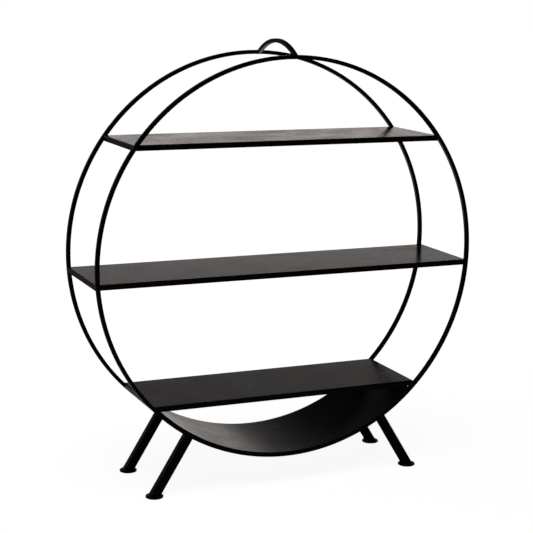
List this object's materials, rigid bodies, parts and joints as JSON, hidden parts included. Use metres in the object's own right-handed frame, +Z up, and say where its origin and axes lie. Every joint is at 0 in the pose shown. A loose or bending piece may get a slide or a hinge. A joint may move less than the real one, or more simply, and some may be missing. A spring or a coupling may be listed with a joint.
{
  "type": "firewood rack",
  "caption": "Round floor-standing firewood rack: upright steel rings joined by flat shelves and a curved log tray, with a carry handle and splayed legs.",
  "frame": {"origin": "on the floor, under the middle of the rack", "axes": "+X across the rack to the right as seen from the front, +Y to the rear, +Z up"},
  "size_m": [0.9999, 0.26, 1.106],
  "materials": {
    "frame": "satin black powder coat",
    "sheet": "satin black powder coat on folded sheet steel",
    "foot": "black moulded plastic"
  },
  "bodies": {
    "root": {"front_ring": "frame", "rear_ring": "frame", "top_shelf": "sheet", "middle_shelf": "sheet", "bottom_shelf": "sheet", "log_tray": "sheet", "carry_handle": "frame", "front_left_leg": "frame", "front_left_foot": "foot", "front_right_leg": "frame", "front_right_foot": "foot", "rear_left_leg": "frame", "rear_left_foot": "foot", "rear_right_leg": "frame", "rear_right_foot": "foot"}
  },
  "joints": []
}
